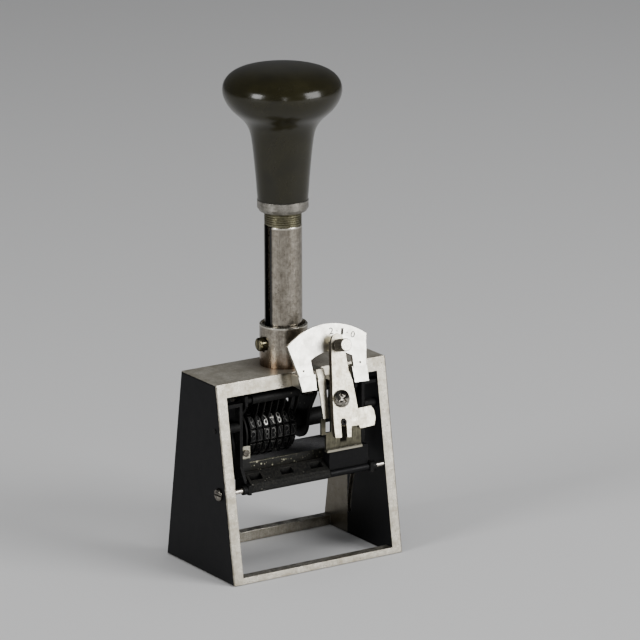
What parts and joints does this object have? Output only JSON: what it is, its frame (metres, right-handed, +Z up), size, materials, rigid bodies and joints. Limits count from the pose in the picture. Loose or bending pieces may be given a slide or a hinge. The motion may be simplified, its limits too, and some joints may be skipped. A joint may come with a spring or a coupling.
{
  "type": "numbering stamp",
  "caption": "Self-inking numbering stamp: lacquered steel frame, sprung plunger with a round knob, number wheels, swinging ink pad, and a setting lever over a small dial.",
  "frame": {"origin": "middle of the frame's foot, on the surface the stamp stands on", "axes": "+Z up along the plunger; +X to the right of the front face, along the number wheels' axle; +Y to the rear"},
  "size_m": [0.074, 0.0526, 0.1821],
  "materials": {
    "frame_shell": "nickel-plated steel with black lacquered side walls, worn at the edges",
    "nickel": "satin nickel plate, slightly tarnished",
    "bright_nickel": "bright nickel plate on pressed steel",
    "black_metal": "blackened steel with ink stains",
    "brass": "dull, tarnished brass thread",
    "bakelite": "polished dark olive phenolic",
    "type_black": "inked steel type, worn bright on the faces",
    "spring_steel": "oiled spring steel",
    "felt": "ink-soaked felt"
  },
  "bodies": {
    "frame_body": {"frame": "frame_shell", "collar": "nickel", "guide_pin": "nickel", "spring_seat": "spring_steel", "side_screw": "nickel", "cross_rod": "nickel", "guide_strip_right": "bright_nickel", "guide_strip_left": "bright_nickel", "strip_rivets": "nickel", "front_apron": "black_metal", "side_cover": "black_metal", "dial_sector": "bright_nickel", "mechanism_plate": "nickel", "dial_posts": "nickel", "pivot_screw": "nickel", "click_blade": "bright_nickel"},
    "plunger": {"plunger_tube": "nickel", "threaded_neck": "brass", "ferrule": "nickel", "knob": "bakelite", "spring_cap": "spring_steel", "return_spring": "spring_steel", "crosshead": "black_metal", "cage_screws": "nickel", "cage_plate_right": "black_metal", "cage_plate_left": "black_metal", "cage_plate_inner": "black_metal", "wheel_axle": "spring_steel", "axle_spacers": "black_metal", "index_disc": "black_metal", "pawl_shaft": "spring_steel", "pawl_spring": "spring_steel", "detent_comb": "spring_steel"},
    "pad_carrier": {"pad_tray": "nickel", "ink_pad": "felt", "pad_arm_right": "black_metal", "pad_arm_left": "black_metal", "follower_pins": "nickel", "pad_clip": "bright_nickel", "clip_screw": "black_metal"},
    "pawl": {"feed_pawl": "black_metal"},
    "lever": {"setting_lever": "bright_nickel", "tail_stud": "nickel"},
    "button": {"lever_button": "nickel"},
    "tab": {"release_tab": "bright_nickel"},
    "wheel_1": {"number_wheel_1": "type_black"},
    "wheel_2": {"number_wheel_2": "type_black"},
    "wheel_3": {"number_wheel_3": "type_black"},
    "wheel_4": {"number_wheel_4": "type_black"},
    "wheel_5": {"number_wheel_5": "type_black"},
    "wheel_6": {"number_wheel_6": "type_black"},
    "wheel_7": {"number_wheel_7": "type_black"}
  },
  "joints": [
    {"name": "press", "type": "slide", "parent": "frame_body", "child": "plunger", "axis": [0, 0, -1], "range_m": [0, 0.0398], "stiffness_N_per_m": 420, "springref_m": -0.03, "deforming": ["return_spring"]},
    {"name": "pad_swing", "type": "hinge", "parent": "plunger", "child": "pad_carrier", "pos_m": [0, 0, 0.05], "axis": [1, 0, 0], "range_deg": [0, 104]},
    {"name": "pawl_swing", "type": "hinge", "parent": "plunger", "child": "pawl", "pos_m": [-0.0105, -0.0102, 0.064], "axis": [-1, 0, 0], "range_deg": [0, 6]},
    {"name": "lever_swing", "type": "hinge", "parent": "frame_body", "child": "lever", "pos_m": [0.0081, -0.02211, 0.06254], "axis": [0, 0.963, -0.2696], "range_deg": [0, 22]},
    {"name": "button_pull", "type": "slide", "parent": "lever", "child": "button", "axis": [0, -0.963, 0.2696], "range_m": [0, 0.0013], "stiffness_N_per_m": 200, "springref_m": -0.002},
    {"name": "tab_swing", "type": "hinge", "parent": "frame_body", "child": "tab", "pos_m": [0.009, -0.02418, 0.05513], "axis": [0, 0.963, -0.2696], "range_deg": [0, 10], "stiffness_Nm_per_rad": 0.02, "springref_deg": -5.73},
    {"name": "wheel_1_turn", "type": "hinge", "parent": "plunger", "child": "wheel_1", "pos_m": [-0.0192, 0, 0.05], "axis": [1, 0, 0], "continuous": true},
    {"name": "wheel_2_turn", "type": "hinge", "parent": "plunger", "child": "wheel_2", "pos_m": [-0.01635, 0, 0.05], "axis": [1, 0, 0], "continuous": true},
    {"name": "wheel_3_turn", "type": "hinge", "parent": "plunger", "child": "wheel_3", "pos_m": [-0.0135, 0, 0.05], "axis": [1, 0, 0], "continuous": true},
    {"name": "wheel_4_turn", "type": "hinge", "parent": "plunger", "child": "wheel_4", "pos_m": [-0.01065, 0, 0.05], "axis": [1, 0, 0], "continuous": true},
    {"name": "wheel_5_turn", "type": "hinge", "parent": "plunger", "child": "wheel_5", "pos_m": [-0.0078, 0, 0.05], "axis": [1, 0, 0], "continuous": true},
    {"name": "wheel_6_turn", "type": "hinge", "parent": "plunger", "child": "wheel_6", "pos_m": [-0.00495, 0, 0.05], "axis": [1, 0, 0], "continuous": true},
    {"name": "wheel_7_turn", "type": "hinge", "parent": "plunger", "child": "wheel_7", "pos_m": [-0.0021, 0, 0.05], "axis": [1, 0, 0], "continuous": true}
  ],
  "couplings": [
    {"joint": "pad_swing", "follows": "press", "rad_per_m": 45.607},
    {"joint": "pawl_swing", "follows": "press", "rad_per_m": 2.6311}
  ]
}
